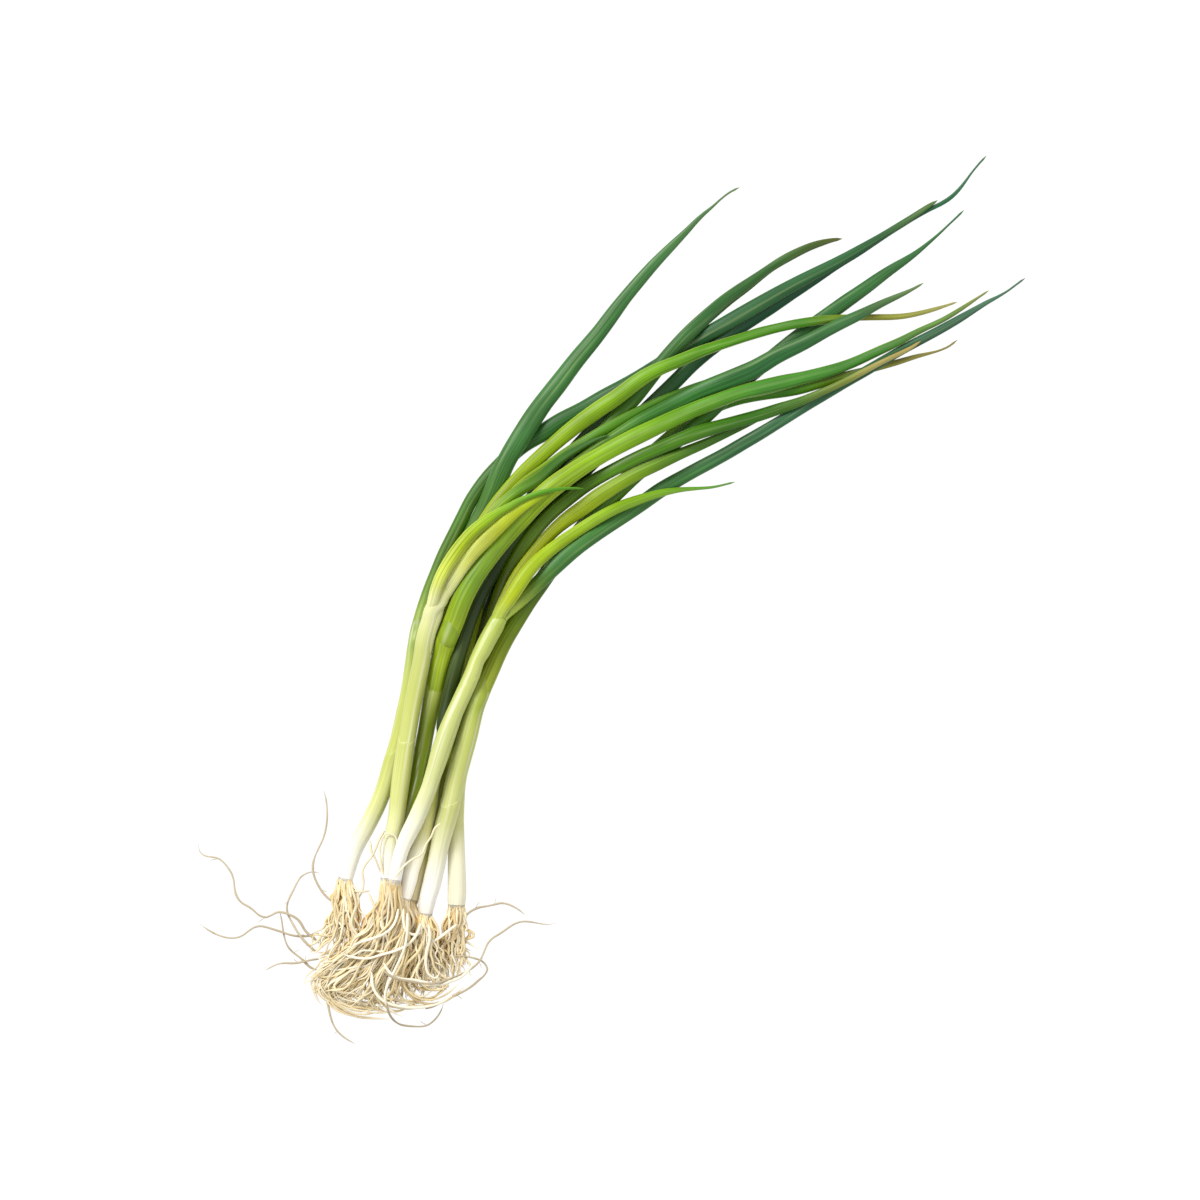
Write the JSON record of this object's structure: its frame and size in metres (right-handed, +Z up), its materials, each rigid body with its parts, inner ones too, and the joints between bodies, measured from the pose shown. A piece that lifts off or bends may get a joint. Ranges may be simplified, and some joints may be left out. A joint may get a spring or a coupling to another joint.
{
  "type": "spring onion bunch",
  "caption": "Bunch of fresh spring onions lying flat: white shafts with fine roots, parting into long hollow green leaves that cross and fan out to pointed tips.",
  "frame": {"origin": "centre of the bounding box in plan, on the surface the bunch lies on", "axes": "+X from the roots to the leaf tips, +Z up away from the surface, +Y across the bunch"},
  "size_m": [0.4928, 0.1517, 0.0267],
  "materials": {
    "stem": "smooth, slightly glossy plant skin, white at the root end to pale green",
    "leaf": "smooth waxy leaf, yellow-green to blue-green with fine lengthwise veins",
    "root": "matte cream root fibres"
  },
  "bodies": {
    "root": {"leaf_01": "leaf", "leaf_02": "leaf", "leaf_03": "leaf", "leaf_04": "leaf", "leaf_05": "leaf", "leaf_06": "leaf", "leaf_07": "leaf", "leaf_08": "leaf", "leaf_09": "leaf", "leaf_10": "leaf", "leaf_11": "leaf", "leaf_12": "leaf", "leaf_13": "leaf", "leaf_14": "leaf", "leaf_15": "leaf", "leaf_16": "leaf", "leaf_17": "leaf", "leaf_18": "leaf", "root_01": "root", "root_02": "root", "root_03": "root", "root_04": "root", "root_05": "root", "root_06": "root", "root_07": "root", "root_08": "root", "root_09": "root", "root_10": "root", "root_11": "root", "roots_01": "root", "roots_02": "root", "roots_03": "root", "roots_04": "root", "roots_05": "root", "roots_06": "root", "roots_07": "root", "roots_08": "root", "stem_01": "stem", "stem_02": "stem", "stem_03": "stem", "stem_04": "stem", "stem_05": "stem", "stem_06": "stem", "stem_07": "stem", "stem_08": "stem"}
  },
  "joints": []
}
